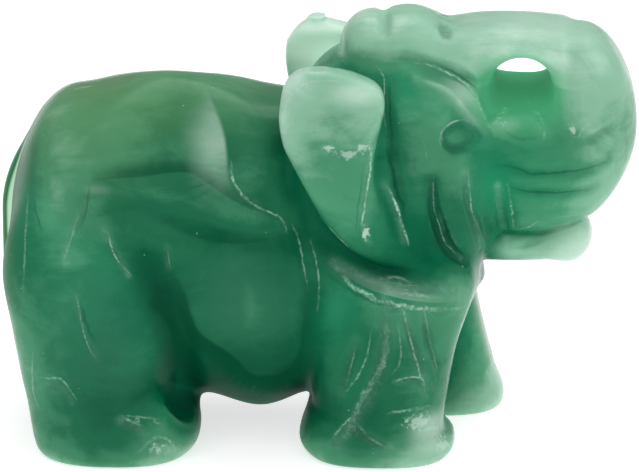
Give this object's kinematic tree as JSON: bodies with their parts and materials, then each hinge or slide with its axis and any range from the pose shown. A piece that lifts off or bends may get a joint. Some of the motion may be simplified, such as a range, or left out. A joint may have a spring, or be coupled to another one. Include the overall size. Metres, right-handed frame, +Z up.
{
  "type": "elephant figurine",
  "caption": "Small free-standing elephant with a raised, looped trunk, carved from one piece of green jade-like stone and polished, used as a shelf or desk ornament.",
  "frame": {"origin": "on the surface that the figurine stands on, under the middle of its bounding box", "axes": "+X forwards, from the tail to the loop of the trunk; +Y to the animal's left; +Z up from the soles of the feet"},
  "size_m": [0.05, 0.024, 0.0345],
  "materials": {
    "jade": "polished, slightly translucent green stone"
  },
  "bodies": {
    "root": {"torso": "jade", "head": "jade", "trunk": "jade", "lower_lip": "jade", "ear_right": "jade", "ear_left": "jade", "leg_front_right": "jade", "leg_front_left": "jade", "leg_hind_right": "jade", "leg_hind_left": "jade", "tail": "jade"}
  },
  "joints": []
}
